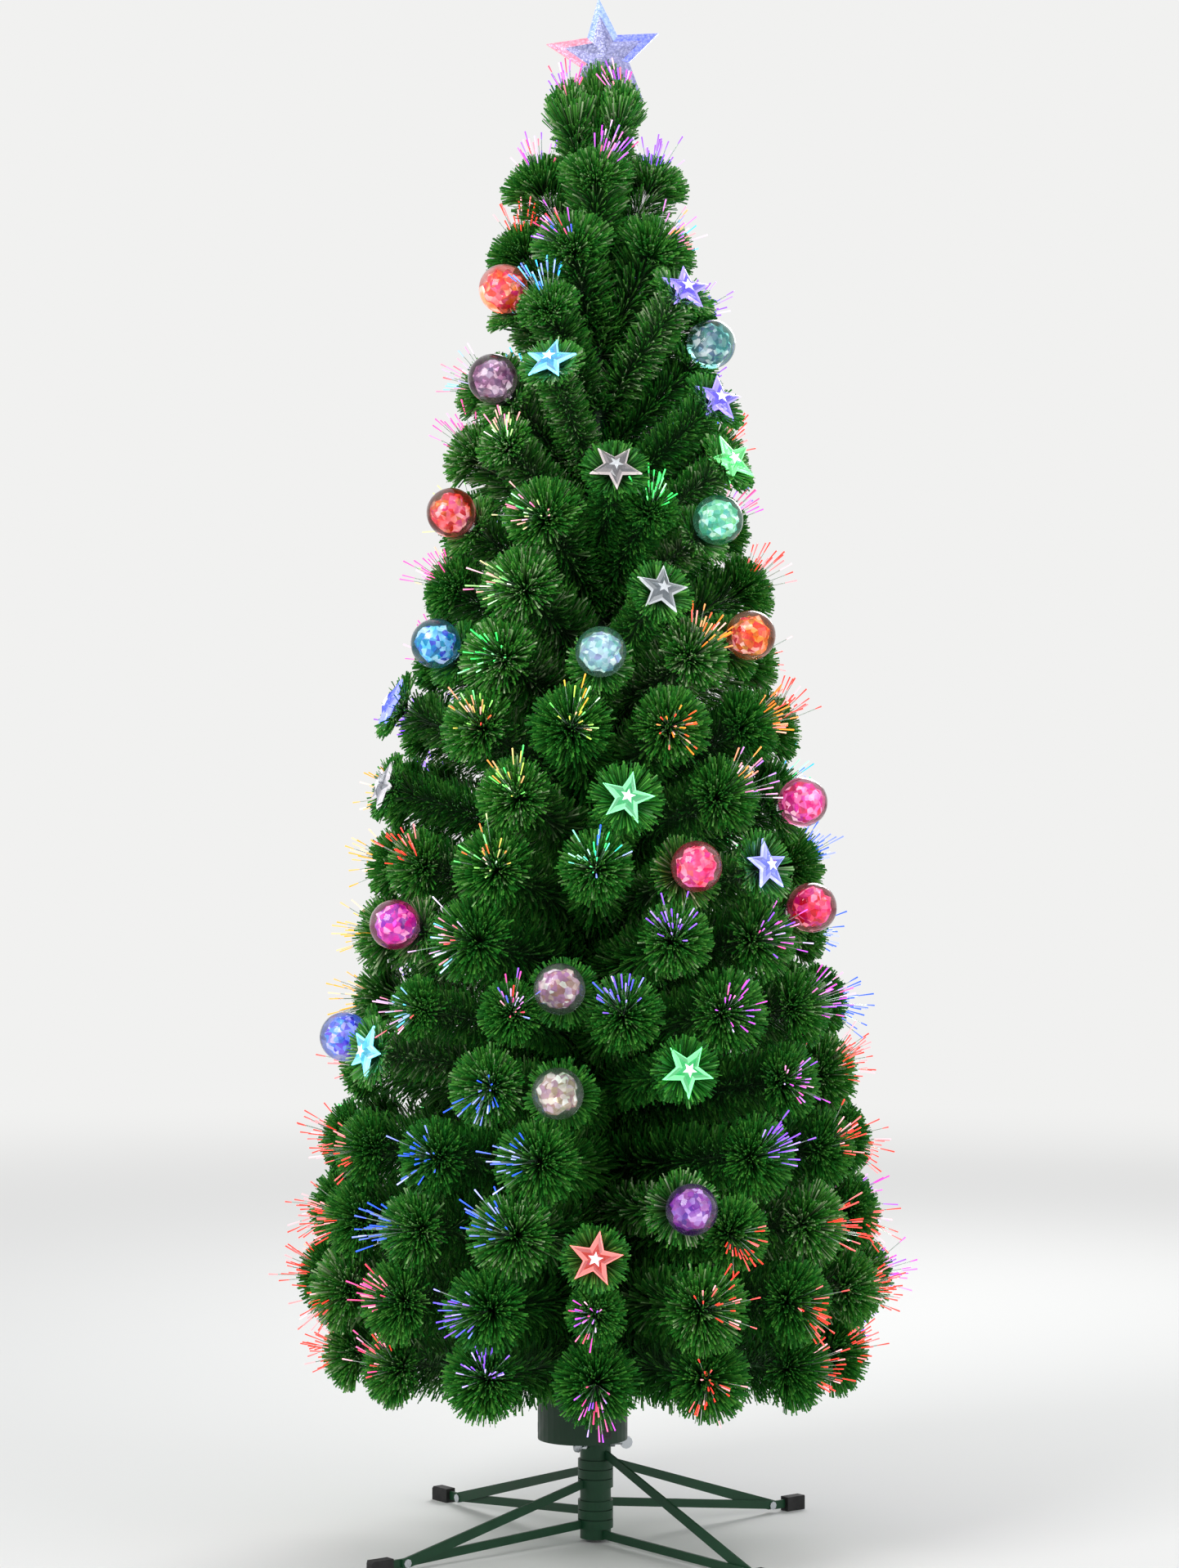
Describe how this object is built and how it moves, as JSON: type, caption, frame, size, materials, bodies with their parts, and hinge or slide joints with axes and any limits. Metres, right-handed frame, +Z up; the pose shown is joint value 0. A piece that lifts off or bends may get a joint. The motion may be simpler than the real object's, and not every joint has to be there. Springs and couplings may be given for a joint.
{
  "type": "fiber optic christmas tree",
  "caption": "Slim green fiber optic christmas tree on a folding steel stand, with glowing fibre tips, tinted ball and star ornaments and a clear star on top.",
  "frame": {"origin": "on the floor, on the axis of the stand's tube and trunk", "axes": "+Z up along the trunk, +X to the right and -Y towards the viewer of the picture"},
  "size_m": [0.7564, 0.7564, 1.7977],
  "materials": {
    "green_steel": "satin",
    "bright_steel": "satin",
    "black_rubber": "matte",
    "green_plastic": "gloss",
    "black_plastic": "satin",
    "aluminium": "satin",
    "circuit_board": "satin",
    "clear_plastic": "gloss",
    "fibre": "gloss",
    "green_foil": "satin",
    "green_wrap": "matte",
    "tinted_plastic": "gloss",
    "clear_holder": "gloss"
  },
  "bodies": {
    "stand": {"stand_tube": "green_steel", "clamp_nuts": "bright_steel", "leg_1_upper_strip": "green_steel", "leg_1_lower_strip": "green_steel", "leg_1_rivet": "bright_steel", "leg_1_foot": "black_rubber"},
    "leg_2": {"leg_2_upper_strip": "green_steel", "leg_2_lower_strip": "green_steel", "leg_2_rivet": "bright_steel", "leg_2_foot": "black_rubber"},
    "leg_3": {"leg_3_upper_strip": "green_steel", "leg_3_lower_strip": "green_steel", "leg_3_rivet": "bright_steel", "leg_3_foot": "black_rubber"},
    "leg_4": {"leg_4_upper_strip": "green_steel", "leg_4_lower_strip": "green_steel", "leg_4_rivet": "bright_steel", "leg_4_foot": "black_rubber"},
    "clamp_screw_1": {"clamp_screw_1": "bright_steel"},
    "clamp_screw_2": {"clamp_screw_2": "bright_steel"},
    "clamp_screw_3": {"clamp_screw_3": "bright_steel"},
    "lower_tree": {"housing_base": "green_plastic", "housing_cover": "green_plastic", "housing_screws": "bright_steel", "heat_sink": "aluminium", "led_board": "circuit_board", "led_lens": "clear_plastic", "gear_motor": "bright_steel", "fibre_ferrule": "black_plastic", "control_board": "circuit_board", "dc_inlet": "black_plastic", "switch_body": "black_plastic", "lower_pole": "green_steel", "lower_fibre_bundle": "fibre", "lower_branch_sleeves": "green_wrap", "lower_branches_1": "green_foil", "lower_branches_2": "green_foil", "lower_branches_3": "green_foil", "lower_branches_4": "green_foil", "lower_branches_5": "green_foil", "lower_balls": "tinted_plastic", "lower_small_stars": "clear_plastic", "lower_ornament_holders": "clear_holder"},
    "colour_wheel": {"colour_wheel": "clear_plastic", "motor_shaft": "bright_steel"},
    "switch_rocker": {"switch_rocker": "black_plastic"},
    "upper_tree": {"upper_pole": "green_steel", "upper_fibre_bundle": "fibre", "upper_branch_sleeves": "green_wrap", "leader_post": "green_steel", "upper_branches_1": "green_foil", "upper_branches_2": "green_foil", "upper_branches_3": "green_foil", "upper_branches_4": "green_foil", "upper_balls": "tinted_plastic", "upper_small_stars": "clear_plastic", "upper_ornament_holders": "clear_holder"},
    "top_star": {"star_socket": "clear_plastic", "top_star_front": "clear_plastic", "top_star_back": "clear_plastic"}
  },
  "joints": [
    {"name": "leg_2_swing", "type": "hinge", "parent": "stand", "child": "leg_2", "pos_m": [0, 0, 0.06], "axis": [0, 0, 1], "range_deg": [-76, 0]},
    {"name": "leg_3_swing", "type": "hinge", "parent": "stand", "child": "leg_3", "pos_m": [0, 0, 0.06], "axis": [0, 0, 1], "range_deg": [-152, 0]},
    {"name": "leg_4_swing", "type": "hinge", "parent": "stand", "child": "leg_4", "pos_m": [0, 0, 0.06], "axis": [0, 0, 1], "range_deg": [0, 76]},
    {"name": "clamp_screw_1_turn", "type": "hinge", "parent": "stand", "child": "clamp_screw_1", "pos_m": [0, 0, 0.1155], "axis": [0.9962, -0.0872, 0], "range_deg": [0, 900]},
    {"name": "clamp_screw_2_turn", "type": "hinge", "parent": "stand", "child": "clamp_screw_2", "pos_m": [0, 0, 0.1155], "axis": [-0.4226, 0.9063, 0], "range_deg": [0, 900]},
    {"name": "clamp_screw_3_turn", "type": "hinge", "parent": "stand", "child": "clamp_screw_3", "pos_m": [0, 0, 0.1155], "axis": [-0.5736, -0.8192, 0], "range_deg": [0, 900]},
    {"name": "lower_tree_lift", "type": "slide", "parent": "stand", "child": "lower_tree", "axis": [0, 0, 1], "range_m": [0, 0.068]},
    {"name": "wheel_turn", "type": "hinge", "parent": "lower_tree", "child": "colour_wheel", "pos_m": [-0.015, -0.02598, 0.1566], "axis": [0, 0, 1], "continuous": true},
    {"name": "rocker_tilt", "type": "hinge", "parent": "lower_tree", "child": "switch_rocker", "pos_m": [0.011, -0.07101, 0.1368], "axis": [0, 0, 1], "range_deg": [-8, 8]},
    {"name": "upper_tree_lift", "type": "slide", "parent": "lower_tree", "child": "upper_tree", "axis": [0, 0, 1], "range_m": [0, 0.058]},
    {"name": "top_star_lift", "type": "slide", "parent": "upper_tree", "child": "top_star", "axis": [0.0785, 0, 0.9969], "range_m": [0, 0.048]}
  ],
  "couplings": [
    {"joint": "leg_3_swing", "follows": "leg_2_swing", "ratio": 2}
  ]
}
